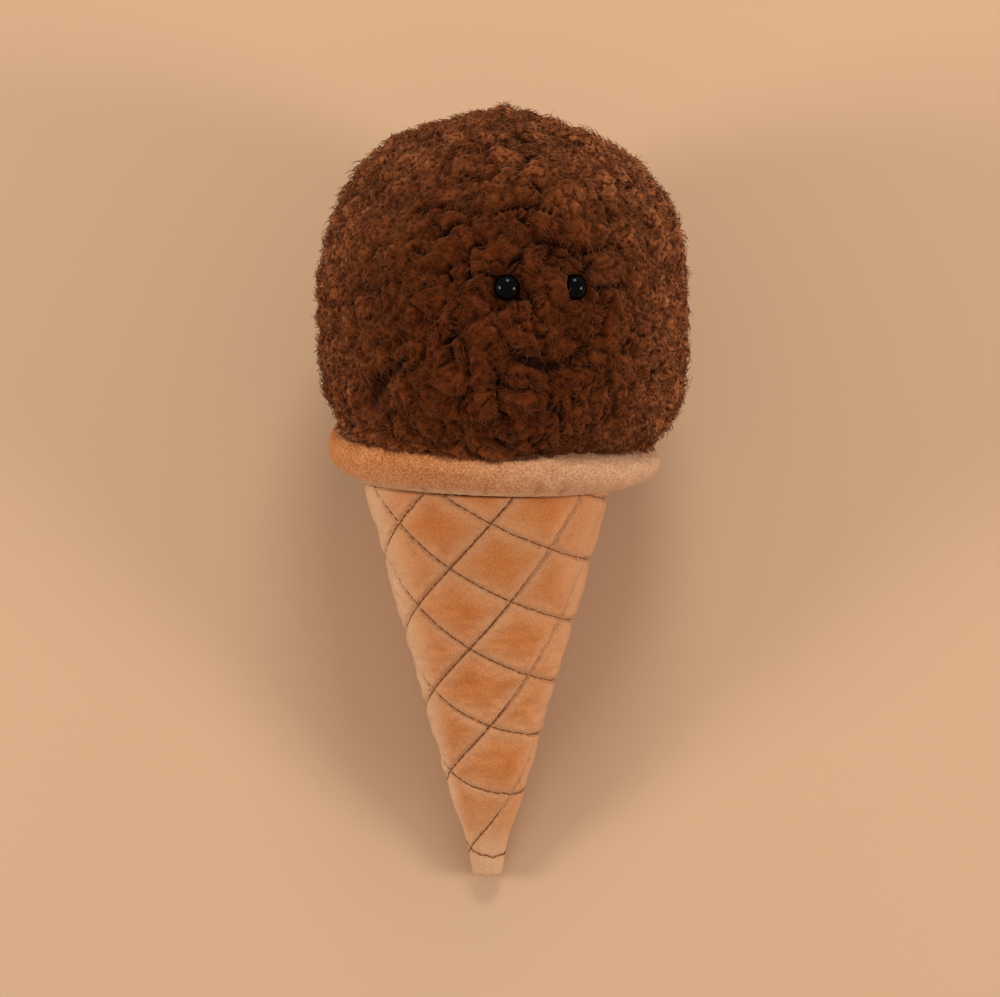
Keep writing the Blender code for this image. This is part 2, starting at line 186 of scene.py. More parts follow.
# The quilted cone.
CONE_HALF_ANGLE = math.radians(15.2)
CONE_APEX = -12.0 * MM
CONE_TOP = RIM_CENTRE[2] - RIM_DEPTH - 0.3 * MM
CONE_TOP_SLOPE = math.tan(RIM_TILT) - RIM_FOOT_RISE / RIM_RADIUS
CONE_TAKE_IN = 0.2 * MM
TIP_ROUNDING = 0.8 * MM
TIP_WAIST = 9.0 * MM
TIP_WAIST_DEPTH = 0.6 * MM
TIP_WAIST_REACH = 6.0 * MM
PILLOW_RISE = 1.0 * MM
PILLOW_FULL_RADIUS = 14.0 * MM
PILLOW_LEAST = 0.25
STITCH_LINES = (  # normal's angle on the cloth, line spacing, distance of line 0 from the apex
    (math.radians(27.8), 14.8 * MM, 104.7 * MM),
    (math.radians(-50.4), 15.85 * MM, 95.4 * MM),
)
LINE_NUMBERS = range(-1, 8)
LEVEL_AFTER = 3  # past this line, towards the tip, the first family's lines level out
LEVELLING = math.radians(6.3)
GROOVE_DEPTH = 0.55 * MM
GROOVE_WIDTH = 0.5 * MM
CONE_COLUMNS = 600
CONE_ROWS = 320

# The stitches in the quilting, and the pile that pokes over them.
STITCH_PITCH = 2.0 * MM
STITCH_LENGTH = 2.1 * MM
STITCH_RADIUS = 0.19 * MM
STITCH_SEED = 5
FAINT_FROM = math.radians(14)  # the second family's stitches sink in past this turn
FUZZ_PER_MM = 3.0
FUZZ_LENGTH = 0.7 * MM
FUZZ_RADIUS = 0.045 * MM

# Velour is painted paler beside a stitch line and round the cone's sides, more on the viewer's left, as
# painted sheen, and it is paler towards the cone's tip. Its own grain is relief in the mesh.
PALE_BAND = 3.2 * MM
PALE_TIP = 14.0 * MM
PALE_SIDE = math.radians(34)
NAP_SIZE = 0.75 * MM
NAP_RELIEF = 0.08 * MM

# Blender's cloth works best at this many times the toy's size.
CLOTH_SCALE = 10.0
CLOTH_FRAMES = 16
CONE_CLOTH_GRID = (84, 132)  # rows and columns
CONE_PRESSURE = 4.0
CONE_GROWTH = 0.03
RIM_CLOTH_GRID = (26, 180)
RIM_PRESSURE = 3.0
RIM_GROWTH = 0.045


def turned(vectors):
    """Turns vectors of the upright frame onto the toy's back, by a quarter less the slope."""
    x, y, z = np.moveaxis(np.asarray(vectors, float), -1, 0)
    lying_y = y * math.sin(AXIS_SLOPE) + z * math.cos(AXIS_SLOPE)
    lying_z = z * math.sin(AXIS_SLOPE) - y * math.cos(AXIS_SLOPE)
    return np.stack([x, lying_y, lying_z], axis=-1)


def direction(turn, rise):
    """A unit vector at an angle round the scoop and a rise: (sin t cos r, -cos t cos r, sin r)."""
    turn, rise = np.broadcast_arrays(turn, rise)
    level = np.cos(rise)
    return np.stack([np.sin(turn) * level, -np.cos(turn) * level, np.sin(rise)], axis=-1)


def unit(vectors):
    return vectors / np.maximum(np.linalg.norm(vectors, axis=-1, keepdims=True), 1e-12)


def bell(values, width):
    """A bell curve: exp(-(value/width)^2)."""
    return np.exp(-((values / width) ** 2))


def angle_of(cosines):
    """The angle that has a cosine, also where rounding takes it past 1."""
    return np.arccos(np.clip(cosines, -1, 1))


def ball(rows, columns):
    """Unit vectors in closed rings from the foot up, and the two poles."""
    rise = np.linspace(-math.pi / 2, math.pi / 2, rows + 2)[1:-1]
    turn = np.arange(columns) * TURN / columns
    rings = direction(turn[None, :], rise[:, None]).reshape(-1, 3)
    return np.concatenate([rings, [[0, 0, -1.0], [0, 0, 1.0]]])


def superellipse_radius(ways):
    """The smooth outline: (across/width)^p + (up/height)^p is 1, with one power above and one below."""
    across = np.hypot(ways[:, 0], ways[:, 1] / DEPTH_SHARE)
    upper = ways[:, 2] > 0
    height = np.where(upper, CROWN_HEIGHT, SKIRT_HEIGHT)
    power = np.where(upper, CROWN_POWER, SKIRT_POWER)
    sum_of_powers = (across / SCOOP_RADIUS) ** power + (np.abs(ways[:, 2]) / height) ** power
    return sum_of_powers ** (-1 / power)


def eye_ways():
    return direction(FACE_TURN + EYE_SPREAD * np.array([-1, 1]), EYE_RISE)


def eye_centres():
    ways = eye_ways()
    return SCOOP_CENTRE + ways * (superellipse_radius(ways) - EYE_SINKS)[:, None]


def mouth_ways(count):
    """Along the mouth: the rise grows with the square of the way from its middle, and leans a little."""
    along = np.linspace(-1, 1, count)
    rise = MOUTH_LOW + MOUTH_LIFT * along**2 + MOUTH_LEAN * along
    return direction(MOUTH_TURN + MOUTH_SPREAD * along, rise)


EYE_BOX = [np.array(corner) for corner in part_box("eye_left")]
SHIFT = (EYE_BOX[0] + EYE_BOX[1]) / 2 - turned(eye_centres()[0])


def lay(points):
    """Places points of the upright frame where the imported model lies."""
    return turned(points) + SHIFT


def pressed(points, lift=0.0):
    """Presses points flat on the floor, which slopes away behind the upright toy's axis."""
    up = np.array([0, -math.cos(AXIS_SLOPE), math.sin(AXIS_SLOPE)])
    on_floor = np.array([0, FLOOR_BEHIND_TIP, 0]) + up * lift
    short = np.maximum(0, (on_floor - points) @ up)
    return points + short[..., None] * up


def noise(points, size, seed):
    """Smooth noise from 0 to 1: random numbers at a lattice's corners, blended by 3t^2 - 2t^3."""
    scaled = points / size
    cell = np.floor(scaled).astype(np.int64)
    part = scaled - cell
    part = part * part * (3 - 2 * part)
    table = np.random.default_rng(seed).random(4096)
    total = np.zeros(points.shape[:-1])
    for corner in np.ndindex(2, 2, 2):
        x, y, z = np.moveaxis(cell + np.array(corner), -1, 0)
        key = (x * 73856093 ^ y * 19349663 ^ z * 83492791) & 4095
        total += table[key] * np.prod(np.where(np.array(corner, bool), part, 1 - part), axis=-1)
    return total


def noise_vectors(points, size, seed):
    """Three numbers from -0.5 to 0.5 for each point, each from a noise of its own."""
    return np.stack([noise(points, size, seed + axis) for axis in range(3)], axis=1) - 0.5


def spread_over_ball(count, jitter, seed):
    """Unit vectors by the golden angle, each moved at random by a share of their spacing."""
    index = np.arange(count) + 0.5
    height = 1 - 2 * index / count
    angle = math.pi * (1 + math.sqrt(5)) * index
    across = np.sqrt(1 - height**2)
    ways = np.stack([across * np.cos(angle), across * np.sin(angle), height], axis=1)
    spacing = math.sqrt(4 * math.pi / count)
    return unit(ways + np.random.default_rng(seed).normal(0, jitter * spacing / 2, ways.shape))


def nearest_two(ways, seeds):
    """For each way, its nearest seed's number, and the angles to the nearest and the next."""
    numbers, angles = [], []
    for part in np.array_split(ways.astype(np.float32), max(1, len(ways) // 4000)):
        near = part @ seeds.T.astype(np.float32)
        best = near.argmax(axis=1)
        here = np.arange(len(part))
        first = near[here, best]
        near[here, best] = -2
        numbers.append(best)
        angles.append(angle_of(np.stack([first, near.max(axis=1)], axis=1)))
    return np.concatenate(numbers), np.concatenate(angles)


def bumps(ways, seeds):
    """Rounded bumps, 1 at each seed and 0 halfway to the next: 1 - (nearest/next)^2."""
    number, angles = nearest_two(ways, seeds)
    return 1 - (angles[:, 0] / np.maximum(angles[:, 1], 1e-6)) ** 2, number


def closed_grid(rows, columns):
    """Faces of stacked closed rings with a pole at each end. The poles are the last two points."""
    row = np.arange(rows - 1)[:, None] * columns
    here = np.arange(columns)
    after = (here + 1) % columns
    sides = [row + here, row + after, row + columns + after, row + columns + here]
    quads = np.stack(np.broadcast_arrays(*sides), axis=-1).reshape(-1, 4)
    low, high = rows * columns, rows * columns + 1
    top = (rows - 1) * columns
    foot = np.stack([np.full(columns, low), after, here], axis=1)
    head = np.stack([top + here, top + after, np.full(columns, high)], axis=1)
    return quads, np.concatenate([foot, head])


def in_scene(name, data):
    made = bpy.data.objects.new(name, data)
    bpy.context.scene.collection.objects.link(made)
    return made


def new_piece(name, points, quads, triangles, material):
    """A smooth-shaded mesh from arrays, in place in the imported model's frame."""
    mesh = bpy.data.meshes.new(name)
    mesh.vertices.add(len(points))
    mesh.vertices.foreach_set("co", np.asarray(points, np.float32).ravel())
    corners = np.concatenate([quads.ravel(), triangles.ravel()]).astype(np.int32)
    starts = np.concatenate([np.arange(len(quads)) * 4, len(quads) * 4 + np.arange(len(triangles)) * 3])
    mesh.loops.add(len(corners))
    mesh.loops.foreach_set("vertex_index", corners)
    mesh.polygons.add(len(starts))
    mesh.polygons.foreach_set("loop_start", starts.astype(np.int32))
    mesh.update(calc_edges=True)
    mesh.shade_smooth()
    piece = in_scene(name, mesh)
    if material:
        mesh.materials.append(material)
        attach(piece, "root")
    return piece


def paint(piece, name, values):
    """Keeps one number for each point of a piece, which its material reads."""
    layer = piece.data.attributes.new(name, "FLOAT", "POINT")
    layer.data.foreach_set("value", np.asarray(values, np.float32).ravel())


def tube_piece(name, paths, radii, sides, material):
    """A piece of round tubes along many paths: paths is (tube, point, 3) and radii (tube, point). Rings
    stand square to the path, and each end closes on a pole."""
    count, steps = paths.shape[:2]
    along = unit(np.gradient(paths, axis=1))
    overall = paths[:, -1] - paths[:, 0]
    bend = np.cross(overall, paths[:, steps // 2] - paths[:, 0])
    across = unit(np.cross(along, unit(bend + 1e-9)[:, None, :] + 1e-6))
    third = np.cross(along, across)
    angle = TURN * np.arange(sides) / sides
    ring = across[:, :, None] * np.cos(angle)[:, None] + third[:, :, None] * np.sin(angle)[:, None]
    rings = paths[:, :, None] + ring * radii[:, :, None, None]
    ends = paths[:, [0, -1]] + along[:, [0, -1]] * (np.array([-0.5, 0.5])[:, None] * radii[:, [0, -1], None])
    points = np.concatenate([rings.reshape(count, -1, 3), ends], axis=1)
    quads, triangles = closed_grid(steps, sides)
    first = np.arange(count)[:, None, None] * points.shape[1]
    faces = (quads + first).reshape(-1, 4), (triangles + first).reshape(-1, 3)
    return new_piece(name, lay(points.reshape(-1, 3)), *faces, material)


def tube_values(per_point, sides):
    """Spreads a number for each path point over its ring and poles, in the order that tube_piece() uses."""
    rings = np.repeat(per_point, sides, axis=1)
    return np.concatenate([rings, per_point[:, [0, -1]]], axis=1)


# Materials.


def node(tree, kind, **settings):
    made = tree.nodes.new(kind)
    for key, value in settings.items():
        setattr(made, key, value)
    return made


def start_material(name, roughness, specular, **sockets):
    """A new material and its Principled shader, with constant values set on its own sockets."""
    made = bpy.data.materials.new(name)
    made.use_nodes = True
    shader = made.node_tree.nodes["Principled BSDF"]
    shader.inputs["Roughness"].default_value = roughness
    shader.inputs["Specular IOR Level"].default_value = specular
    for key, value in sockets.items():
        shader.inputs[key.replace("_", " ")].default_value = value
    return made, made.node_tree, shader


def mixed(tree, share, first, second):
    """Blends two colours, each given as numbers or as another node's output, by a share."""
    mix = node(tree, "ShaderNodeMix", data_type="RGBA")
    for socket, value in ((mix.inputs[0], share), (mix.inputs[6], first), (mix.inputs[7], second)):
        if isinstance(value, float):
            socket.default_value = value
        elif isinstance(value, tuple):
            socket.default_value = (*value, 1.0)
        else:
            tree.links.new(value, socket)
    return mix.outputs[2]


def grain(tree, size, low, high, detail=2.0):
    """Noise on Object coordinates with features of about a size, stretched from low..high to 0..1."""
    place = node(tree, "ShaderNodeTexCoord")
    texture = node(tree, "ShaderNodeTexNoise")
    texture.inputs["Scale"].default_value = 1 / size
    texture.inputs["Detail"].default_value = detail
    stretch = node(tree, "ShaderNodeMapRange")
    stretch.inputs["From Min"].default_value = low
    stretch.inputs["From Max"].default_value = high
    tree.links.new(place.outputs["Object"], texture.inputs["Vector"])
    tree.links.new(texture.outputs["Fac"], stretch.inputs["Value"])
    return stretch.outputs["Result"]


def attribute(tree, name):
    return node(tree, "ShaderNodeAttribute", attribute_name=name).outputs["Fac"]


def dress(tree, shader, colour, height, distance, strength):
    """Links a colour to a shader, and a height as its bumps."""
    tree.links.new(colour, shader.inputs["Base Color"])
    bump = node(tree, "ShaderNodeBump")
    bump.inputs["Distance"].default_value = distance
    bump.inputs["Strength"].default_value = strength
    tree.links.new(height, bump.inputs["Height"])
    tree.links.new(bump.outputs["Normal"], shader.inputs["Normal"])


def fleece_material():
    """Brown pile with paler and redder strands, painted nearly black deep down and warm brown where it is
    high, as painted shade. Painted edge light makes the pile at the sides, the crown and the back
    paler than on the face."""
    made, tree, shader = start_material(
        "fleece", 0.95, 0.05, Sheen_Weight=0.24, Sheen_Roughness=0.4, Sheen_Tint=(1.0, 0.52, 0.30, 1.0)
    )
    strand = attribute(tree, "strand")
    matted = mixed(tree, strand, (0.122, 0.020, 0.003), (0.190, 0.041, 0.009))
    flecked = mixed(tree, grain(tree, 3.5 * MM, 0.35, 0.7), matted, (0.140, 0.032, 0.004))
    flecked = mixed(tree, grain(tree, 1.6 * MM, 0.36, 0.5), (0.085, 0.014, 0.002), flecked)
    # Painted edge light: a paler, side-lit copy of the pile for the sides, the crown and the back.
    side_lit_pile = mixed(tree, strand, (0.215, 0.048, 0.010), (0.650, 0.220, 0.076))
    side_lit_pile = mixed(tree, grain(tree, 4.5 * MM, 0.22, 0.55), (0.110, 0.022, 0.005), side_lit_pile)
    side_lit_pile = mixed(tree, grain(tree, 1.1 * MM, 0.38, 0.54), (0.052, 0.009, 0.002), side_lit_pile)
    flecked = mixed(tree, attribute(tree, "sheen_and_paleness"), flecked, side_lit_pile)
    # Painted shade: nearly black where the pile is deep.
    colour = mixed(tree, attribute(tree, "height"), (0.014, 0.0022, 0.0005), flecked)
    dress(tree, shader, colour, grain(tree, 0.45 * MM, 0.25, 0.75, 3.0), 0.2 * MM, 0.8)
    return made


def velour_material(name, deep, pale, speckle, size, sheen):
    """Short pile: a fine grain, soft blotches where the nap lies over, and painted sheen beside the stitches,
    round the cone's sides and on the rim, and paler towards the cone's tip, where a piece paints it.
    """
    made, tree, shader = start_material(
        name, 0.85, 0.1, Sheen_Weight=sheen, Sheen_Roughness=0.3, Sheen_Tint=(1.0, 0.64, 0.35, 1.0)
    )
    middle = tuple(a * b for a, b in zip(deep, (1.18, 1.55, 2.8)))
    glint = tuple(a * b for a, b in zip(pale, (1.0, 0.7, 0.4)))
    blotched = mixed(tree, grain(tree, 8 * MM, 0.3, 0.7), deep, middle)
    # Painted sheen, and the paler cone tip, as each piece paints them.
    blotched = mixed(tree, attribute(tree, "sheen_and_paleness"), blotched, pale)
    light = mixed(tree, speckle, blotched, glint)
    dark = mixed(tree, speckle, blotched, tuple(0.6 * a for a in deep))
    fine = mixed(tree, grain(tree, size, 0.36, 0.64, 3.0), dark, light)
    dress(tree, shader, fine, grain(tree, 0.4 * MM, 0.2, 0.8, 3.0), 0.25 * MM, 0.6)
    return made


def thread_material(name, dark, light):
    """Brown sewing thread with fine ribs of twist across it."""
    made, tree, shader = start_material(name, 0.85, 0.04)
    shade = mixed(tree, grain(tree, 0.5 * MM, 0.3, 0.7), dark, light)
    dress(tree, shader, shade, grain(tree, 0.25 * MM, 0.2, 0.8), 0.1 * MM, 0.6)
    return made


def bead_material():
    """Polished black plastic with the faint orange peel of a moulded bead."""
    made, tree, shader = start_material("bead", 0.08, 0.10)
    shade = mixed(tree, grain(tree, 2 * MM, 0.3, 0.7), (0.0002, 0.0002, 0.0002), (0.0005, 0.0005, 0.0005))
    dress(tree, shader, shade, grain(tree, 1.5 * MM, 0.2, 0.8), 0.02 * MM, 0.15)
    return made


# The scoop.


def to_eyes(ways):
    """The distance round the scoop to the nearer eye. The right eye's counts more sideways, where the pile
    closes in on it."""
    left, right = eye_ways()
    from_left = SCOOP_RADIUS * angle_of(ways @ left)
    side = unit(np.cross([0, 0, 1.0], right))
    offset = SCOOP_RADIUS * (ways - right)
    sideways = offset @ side
    from_right = np.sqrt(np.sum(offset**2, axis=1) + (RIGHT_EYE_SQUEEZE**2 - 1) * sideways**2)
    return np.minimum(from_left, from_right)


def to_mouth(ways):
    return SCOOP_RADIUS * angle_of((ways @ mouth_ways(41).T).max(axis=1))


def dimples(ways):
    """How deep the fleece is drawn in, as a bell curve round each eye and along the mouth, and how smooth."""
    at_eyes = bell(to_eyes(ways), EYE_DIMPLE_WIDTH)
    at_mouth = bell(to_mouth(ways), MOUTH_DIMPLE_WIDTH)
    return EYE_DIMPLE * at_eyes + MOUTH_DIMPLE * at_mouth, np.clip(at_eyes + at_mouth, 0, 1)


def creases(ways):
    """Long folds across the crown: a power of a sine of the height, bent by slower sines round it."""
    turn = np.arctan2(ways[:, 0], -ways[:, 1])
    bend = 0.13 * np.sin(3 * turn + 0.8) + 0.07 * np.sin(5 * turn - 1.1)
    wave = 0.5 + 0.5 * np.sin(CREASES * (ways[:, 2] + bend))
    return wave**CREASE_SHARPNESS * np.clip((ways[:, 2] - 0.1) / 0.3, 0, 1)


def folds(ways):
    """The long folds: a bell curve of the distance to an arc, level but for its lean, bowed by 1 - t^2 and
    thinner towards its ends."""
    turn, rise, half, lean, bow, depth = np.array(FOLDS).T[..., None]
    t = np.linspace(-1, 1, FOLD_POINTS)
    turn, rise, half, lean, bow = (np.radians(value) for value in (turn, rise, half, lean, bow))
    across = turn + half * t * np.cos(lean) / np.cos(rise)
    up = rise + half * t * np.sin(lean) + bow * (1 - t**2)
    arcs = direction(across, up).reshape(-1, 3).astype(np.float32)
    depth = (depth * (1 - 0.3 * t**2)).ravel()
    width = np.broadcast_to(FOLD_WIDTH * (1 - 0.5 * t**2), across.shape).ravel()
    found = []
    for part in np.array_split(ways.astype(np.float32), max(1, len(ways) // 20000)):
        away = SCOOP_RADIUS * np.sqrt(np.maximum(2 - 2 * part @ arcs.T, 0))
        found.append((depth * bell(away, width)).max(axis=1))
    return np.concatenate(found)


def wandering(ways):
    """Moves ways about by two sizes of noise, so that the borders between tufts aren't straight."""
    on_ball = ways * SCOOP_RADIUS
    slow = noise_vectors(on_ball, 5 * MM, 31)
    return unit(on_ball + 2 * BEND * slow + 0.7 * BEND * noise_vectors(on_ball, 1.6 * MM, 34))


def puff(places, size, seed):
    """Rounded lumps with sharp valleys between them: how far noise is from its middle value."""
    return np.clip(np.abs(noise(places, size, seed) - 0.5) / 0.28, 0, 1) ** 0.8


def cheeks(ways):
    """Two lumps of pile, as bell curves, that lean on the right eye from both sides."""
    way = eye_ways()[1]
    side = unit(np.cross([0, 0, 1.0], way))
    sideways = SCOOP_RADIUS * (ways @ side)
    height = SCOOP_RADIUS * (ways[:, 2] - way[2])
    wide, high = CHEEK_SIZE
    rise = sum(bell(sideways - offset, wide) for offset in CHEEK_OFFSETS)
    return CHEEK_RISE * rise * bell(height, high) * (ways @ way > 0)


def fleece(ways):
    """The backing's radius along each way, and its painted light from 0 to 1: the outline less the
    pile's height, with tufts, lumps of three sizes, matted fibres, dimples and folds, and slits in the
    valleys between the larger lumps, in patches. The painted light is lighter on the tops of tufts and
    lumps, and painted shade darkens the creases, slits and folds, round the mouth and eyes, and the face."""
    sunk, smooth = dimples(ways)
    bent = wandering(ways)
    on_ball, bent_on_ball = ways * SCOOP_RADIUS, bent * SCOOP_RADIUS
    tuft = bumps(bent, spread_over_ball(TUFTS, TUFT_JITTER, TUFT_SEED))[0]
    puffs = [puff(bent_on_ball, size, 61 + number) for number, size in enumerate(PUFF_SIZES)]
    patch = np.clip((noise(on_ball * np.array([1.0, 1.0, 1.4]), 6 * MM, 37) - 0.38) / 0.2, 0, 1)
    slit = np.maximum(bell(puffs[0], SLIT_SHARE), 0.6 * bell(puffs[1], SLIT_SHARE))
    slit *= patch * (1 - smooth)
    fold = folds(ways)
    mat = noise(on_ball, 1.1 * MM, 43) + 0.7 * noise(on_ball, 0.6 * MM, 44) - 0.85
    calm = 1 - SIDE_CALM * off_face(ways)
    relief = calm * (TUFT_RELIEF * (tuft - 0.5) - CREASE_RELIEF * creases(ways))
    for height, lump in zip(PUFF_RELIEFS, puffs):
        relief += height * (lump - 0.6) * (calm if height > MM else 1)
    radius = superellipse_radius(ways) + relief * (1 - smooth) + cheeks(ways) - sunk - PILE_HEIGHT
    radius += 2 * MAT_RELIEF * mat - SLIT_DEPTH * slit - FOLD_DEPTH * fold
    radius += PEAK_RISE * bell(np.hypot(on_ball[:, 0], on_ball[:, 1]), PEAK_WIDTH) * (ways[:, 2] > 0)
    for turn, rise, width, swell in BULGES:
        away = angle_of(ways @ direction(math.radians(turn), math.radians(rise)))
        radius += swell * bell(away, math.radians(width))
    # Painted shade round the mouth, in patches, round the eyes and over the face.
    patchy = 0.25 + 0.75 * np.clip((noise(on_ball, 3.2 * MM, 45) - 0.25) / 0.4, 0, 1)
    shade = 0.75 * patchy * bell(to_mouth(ways), MOUTH_SHADE) + 0.35 * bell(to_eyes(ways), EYE_SHADE)
    shade += 0.10 * bell(angle_of(-ways[:, 1]), FACE_SHADE_WIDTH)
    # Painted light on the tops of tufts, lumps and matted fibres, and painted shade in creases, slits and
    # folds.
    painted_light = 0.40 + 0.2 * tuft + 0.18 * puffs[0] + 0.14 * puffs[1] + 0.25 * mat - 0.2 * creases(ways)
    return radius, np.clip(painted_light - 0.5 * slit - 0.6 * fold - shade, 0, 1)


def lip_drop(turn):
    """How far the rim's lip and the fleece's hem sag: a bell curve round the front, and a little of the
    cosine's own front half, but for the viewer's right."""
    away = np.arctan2(np.sin(turn - LIP_DROP_TURN), np.cos(turn - LIP_DROP_TURN))
    sag = LIP_DROP[0] * bell(away, LIP_DROP_WIDTH)
    rest = LIP_DROP[1] * np.clip(2 * np.cos(turn), 0, 1) * np.clip((0.35 - np.sin(turn)) / 0.4, 0, 1)
    return np.minimum(sag + rest, LIP_DROP_MOST)


def overhang(turn):
    """How far the fleece hangs below the seat: none up to OVERHANG_FROM, then in step with the sag."""
    return OVERHANG * np.clip((lip_drop(turn) - OVERHANG_FROM) / (LIP_DROP_MOST - OVERHANG_FROM), 0, 1)


def round_rim(in_rim):
    """The turn of points in the rim's own frame, and how far out they are, as if it were round."""
    return np.arctan2(in_rim[..., 0], -in_rim[..., 1]), np.hypot(in_rim[..., 0], in_rim[..., 1] / DEPTH_SHARE)


def off_rim(in_rim, gap):
    """Pushes points that are inside the rim's roll out to its lip: a quarter ellipse above its widest
    place, and straight down below that."""
    turn, across = round_rim(in_rim)
    part = (in_rim[..., 2] - RIM_WIDEST) / (RIM_LIP - RIM_WIDEST - lip_drop(turn))
    roll = np.sqrt(np.clip(1 - np.clip(part, 0, 1) ** 2, 0, 1))
    wanted = RIM_EDGE_RADIUS + (RIM_RADIUS - RIM_EDGE_RADIUS) * roll + gap
    share = np.where(part < 1, np.maximum(1, wanted / np.maximum(across, MM)), 1)
    pushed = in_rim.copy()
    pushed[..., :2] *= share[..., None]
    return pushed


def seated(points, clearance=0.0):
    """Draws the scoop's foot in to fit the rim's lip, and keeps it above the seat between the two. At the
    front it bulges over the lip instead."""
    in_rim = (points - RIM_CENTRE) @ RIM_TURN
    turn, across = round_rim(in_rim)
    height = in_rim[..., 2] + lip_drop(turn)
    room = RIM_SEAT_RADIUS - clearance + np.maximum(height, 0)
    fades = np.clip((height - RIM_LIP) / (2 * RIM_LIP), 0, 1)
    share = np.minimum(1.0, room / np.maximum(across, MM))
    share += (1 - share) * fades
    over = overhang(turn) * np.clip((across - RIM_SEAT_RADIUS + 2 * MM) / (2 * MM), 0, 1)
    near_lip = np.clip((BULGE_TOP - in_rim[..., 2]) / (BULGE_TOP + 0.6 * MM), 0, 1) ** 1.3
    share += OVERHANG_BULGE * near_lip * over / OVERHANG / np.maximum(across, MM)
    in_rim[..., :2] *= share[..., None]
    in_rim[..., 2] = np.maximum(in_rim[..., 2], clearance - over)
    in_rim = np.where((over > 0.2 * MM)[..., None], off_rim(in_rim, clearance), in_rim)
    return in_rim @ RIM_TURN.T + RIM_CENTRE


def build_backing(material):
    """The fleece's backing: a radius for each turn and rise round the scoop's centre."""
    ways = ball(BACKING_ROWS, BACKING_COLUMNS)
    radius, painted_light = fleece(ways)
    points = pressed(seated(SCOOP_CENTRE + ways * radius[:, None], 0.3 * MM))
    piece = new_piece("fleece_backing", lay(points), *closed_grid(BACKING_ROWS, BACKING_COLUMNS), material)
    # Painted light and shade by place, and painted edge light over the sides, the crown and the back.
    paint(piece, "height", painted_light)
    paint(piece, "strand", 0.5 * noise(points, 4 * MM, 40) + 0.5 * noise(points, 1.2 * MM, 41))
    paint(piece, "sheen_and_paleness", off_face(ways))
    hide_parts("scoop")


def off_face(ways):
    """0 on the face, and up to 1 at the sides, the crown and the back: by the angle from the front, and more
    towards the viewer's right. As colour it is painted edge light, and painted side light on the right.
    """
    away = np.degrees(angle_of(-ways[:, 1]))
    by_side = np.clip(ways[:, 0] + 0.1 * ways[:, 2] + 0.4, 0, 1)
    return np.clip((away - 32) / 38, 0, 1) * (0.66 + 0.34 * by_side)


def above_hem(points):
    """The height over the line where the fleece meets the rim, which sags at the front."""
    offset = points - RIM_CENTRE
    turn = round_rim(offset)[0]
    return offset @ RIM_TURN[:, 2] - np.maximum(HEM_LINE - lip_drop(turn), 0.3 * MM - overhang(turn))


def over_rim(paths):
    """Lays strands over the rim's lip where they would run into it."""
    return off_rim((paths - RIM_CENTRE) @ RIM_TURN, STRAND_RADIUS) @ RIM_TURN.T + RIM_CENTRE


def combing(ways, number, by_hem, rng):
    """Which way each strand lies over: its lock's own random way, with a slow drift over the whole scoop,
    down by the hem, and across the thread by the mouth."""
    own = rng.normal(0, 1, (LOCKS, 3))[number]
    drift = noise_vectors(ways * SCOOP_RADIUS, 14 * MM, 51)
    lie = 0.8 * own + 3.0 * drift + rng.normal(0, 0.35, ways.shape)
    line = mouth_ways(41)
    nearest = line[(ways @ line.T).argmax(axis=1)]
    near_mouth = bell(to_mouth(ways), 2.5 * MM) * (rng.random(len(ways)) < 0.7)
    lie += 3.0 * near_mouth[:, None] * unit(nearest - ways) - 1.6 * by_hem[:, None] * np.array([0, 0, 1.0])
    return unit(lie - np.sum(lie * ways, axis=1, keepdims=True) * ways)


def strand_paths(ways, radius, number, locks, rng):
    """Curled strands. Each leans over from near the normal to past level as its angle grows evenly, so its
    place is the integral of (cos angle, sin angle). A sine wave sways it, and its tip is drawn towards
    the middle of its lock."""
    roots = seated(SCOOP_CENTRE + ways * (radius - 0.2 * MM)[:, None], 0.5 * MM)
    by_hem = np.clip(1 - above_hem(roots) / HEM, 0, 1)
    lie = combing(ways, number, by_hem, rng)
    side = np.cross(ways, lie)
    count = len(ways)
    step = np.linspace(0, 1, STRAND_POINTS)
    length = STRAND_LENGTH * rng.uniform(0.6, 1.2, count) * (1 - 0.2 * dimples(ways)[1]) * (1 - 0.5 * by_hem)
    start = np.radians(rng.uniform(10, 50, count) + 25 * by_hem)
    end = np.radians(rng.uniform(85, 150, count))
    upright = rng.random(count) < UPRIGHT_SHARE * (1 - by_hem)
    end = np.where(upright, np.radians(rng.uniform(55, 80, count)), end)
    angle = start[:, None] + (end - start)[:, None] * step
    rate = (end - start)[:, None]
    up = (np.sin(angle) - np.sin(start)[:, None]) / rate * length[:, None]
    over = (np.cos(start)[:, None] - np.cos(angle)) / rate * length[:, None]
    phase = rng.uniform(0, TURN, count)[:, None]
    waves = rng.uniform(0.5, 1.0, count)[:, None]
    sway = STRAND_WOBBLE * (np.sin(TURN * waves * step + phase) - np.sin(phase)) * (0.4 + 0.6 * step)
    to_middle = (locks[number] - ways) * (radius[:, None] * rng.uniform(0.0, 0.35, count)[:, None])
    return (
        roots[:, None]
        + ways[:, None] * up[..., None]
        + lie[:, None] * over[..., None]
        + side[:, None] * sway[..., None]
        + to_middle[:, None] * (step**1.5)[:, None]
    )


